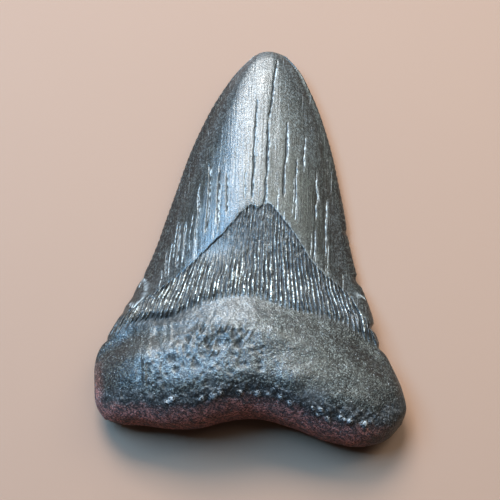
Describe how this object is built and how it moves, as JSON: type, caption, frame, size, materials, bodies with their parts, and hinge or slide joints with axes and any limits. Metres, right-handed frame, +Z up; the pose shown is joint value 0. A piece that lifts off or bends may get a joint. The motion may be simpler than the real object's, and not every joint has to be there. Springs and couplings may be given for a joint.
{
  "type": "megalodon tooth",
  "caption": "Fossil shark tooth, lying on its flat side: a cracked triangular crown with worn serrated edges, a wrinkled band and a thick, arched, pitted root.",
  "frame": {"origin": "under the middle of the tooth's bounding box, on the surface that it lies on", "axes": "+X across the tooth, +Y from the root to the tip, +Z up, out of the domed lingual face"},
  "size_m": [0.091, 0.1214, 0.025],
  "materials": {
    "fossil": "satin, dark mineral"
  },
  "bodies": {
    "root": {"tooth": "fossil"}
  },
  "joints": []
}
